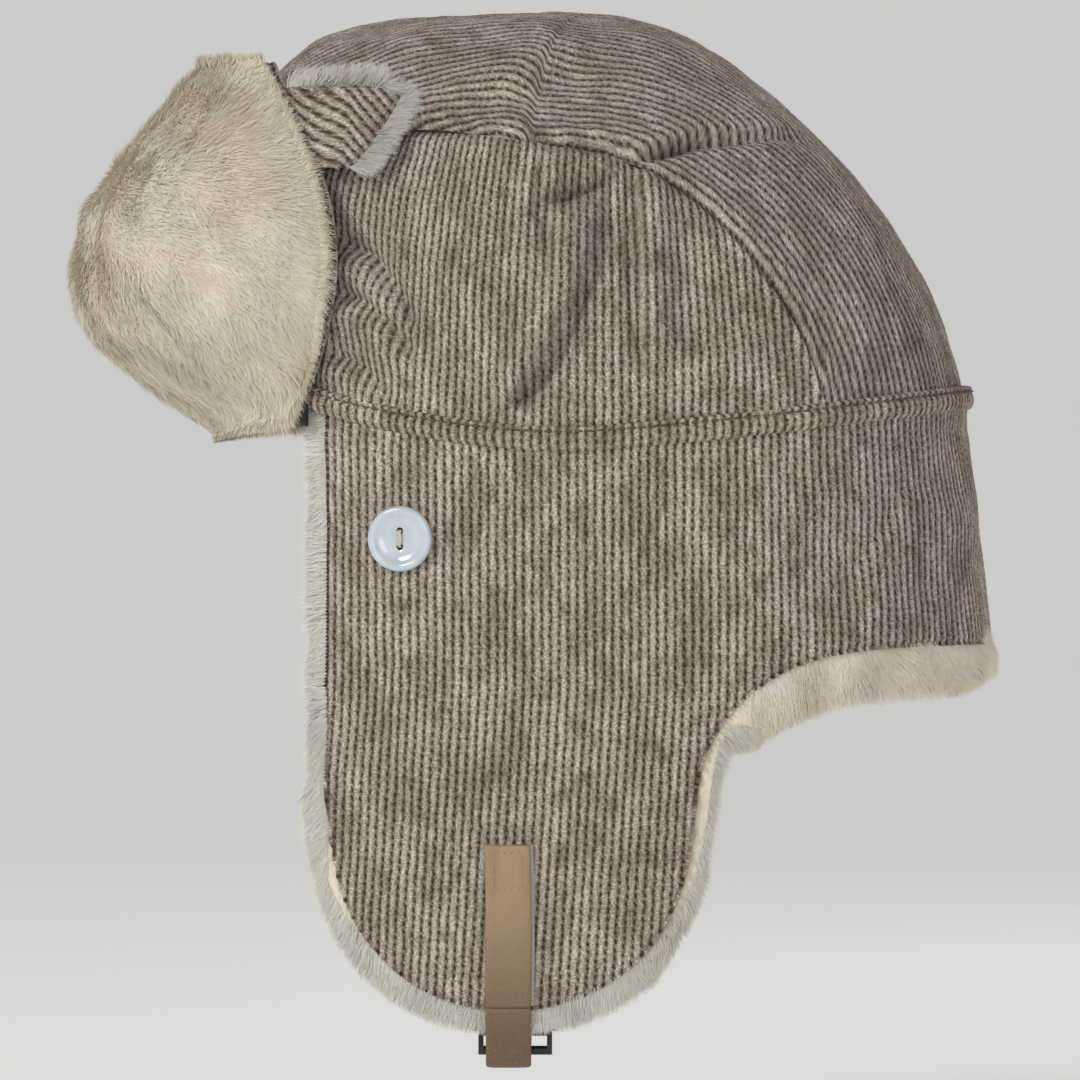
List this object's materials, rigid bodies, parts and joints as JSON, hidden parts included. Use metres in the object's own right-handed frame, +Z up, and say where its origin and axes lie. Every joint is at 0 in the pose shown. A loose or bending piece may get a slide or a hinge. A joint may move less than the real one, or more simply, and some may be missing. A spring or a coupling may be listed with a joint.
{
  "type": "trapper hat",
  "caption": "Trapper hat with a ribbed corduroy crown, fold-up ear flaps lined in pale fur, a turned-up fur visor, side buttons and leather straps with a side-release buckle.",
  "frame": {"origin": "centre of the head opening, on the hat's middle plane at the height of the band seam", "axes": "+Z up, -Y towards the wearer's face, +X towards the wearer's left"},
  "size_m": [0.1758, 0.31, 0.3517],
  "materials": {
    "corduroy": "wide-ribbed chenille corduroy, matt",
    "welt_corduroy": "the same corduroy, folded into a welt",
    "lining_fur": "short pile",
    "fur": "long soft cream faux fur",
    "interlining": "stiff non-woven felt",
    "thread_brown": "twisted thread",
    "thread_ivory": "twisted thread",
    "thread_tan": "twisted thread",
    "black_tape": "woven tape",
    "button_white": "polished",
    "leather": "smooth, semi-matt",
    "strap_backing": "soft matt backing",
    "black_plastic": "moulded, lightly textured"
  },
  "bodies": {
    "hat": {"crown_center_panel": "corduroy", "crown_side_panel_left": "corduroy", "crown_side_panel_right": "corduroy", "crown_lining": "lining_fur", "band_welt": "welt_corduroy", "band_topstitch": "thread_brown", "curtain_left": "corduroy", "curtain_right": "corduroy", "curtain_fur_left": "fur", "curtain_fur_right": "fur", "seam_tape_left": "black_tape", "seam_tape_right": "black_tape", "button_left": "button_white", "button_right": "button_white", "button_thread_left": "thread_ivory", "button_thread_right": "thread_ivory"},
    "visor": {"visor_shell": "corduroy", "visor_interlining": "interlining", "visor_fur": "fur", "visor_corner_left": "corduroy", "visor_corner_right": "corduroy"},
    "ear_flap_left": {"ear_flap_left": "corduroy", "ear_flap_fur_left": "fur", "strap_left": "leather", "strap_backing_left": "strap_backing", "strap_stitching_left": "thread_tan"},
    "ear_flap_right": {"ear_flap_right": "corduroy", "ear_flap_fur_right": "fur", "strap_right": "leather", "strap_backing_right": "strap_backing", "strap_stitching_right": "thread_tan"},
    "strap_tail_left": {"strap_loop_left": "leather"},
    "strap_tail_right": {"strap_loop_right": "leather"},
    "buckle_plug": {"buckle_plug": "black_plastic"},
    "buckle_socket": {"buckle_socket": "black_plastic"}
  },
  "joints": [
    {"name": "visor_fold", "type": "hinge", "parent": "hat", "child": "visor", "pos_m": [0, -0.123, -0.004], "axis": [1, 0, 0], "range_deg": [0, 110]},
    {"name": "left_flap_fold", "type": "hinge", "parent": "hat", "child": "ear_flap_left", "pos_m": [0.0865, -0.02, -0.085], "axis": [0, -1, 0], "range_deg": [0, 150]},
    {"name": "left_strap_swing", "type": "hinge", "parent": "ear_flap_left", "child": "strap_tail_left", "pos_m": [0.0769, -0.0298, -0.191], "axis": [0, -1, 0], "range_deg": [0, 70]},
    {"name": "plug_swing", "type": "hinge", "parent": "strap_tail_left", "child": "buckle_plug", "pos_m": [0.0605, -0.0272, -0.2056], "axis": [0, -1, 0], "range_deg": [0, 150]},
    {"name": "right_flap_fold", "type": "hinge", "parent": "hat", "child": "ear_flap_right", "pos_m": [-0.0865, -0.02, -0.085], "axis": [0, 1, 0], "range_deg": [0, 150]},
    {"name": "right_strap_swing", "type": "hinge", "parent": "ear_flap_right", "child": "strap_tail_right", "pos_m": [-0.0769, -0.0298, -0.191], "axis": [0, 1, 0], "range_deg": [0, 70]},
    {"name": "socket_swing", "type": "hinge", "parent": "strap_tail_right", "child": "buckle_socket", "pos_m": [-0.0605, -0.0272, -0.2056], "axis": [0, 1, 0], "range_deg": [0, 150]}
  ]
}
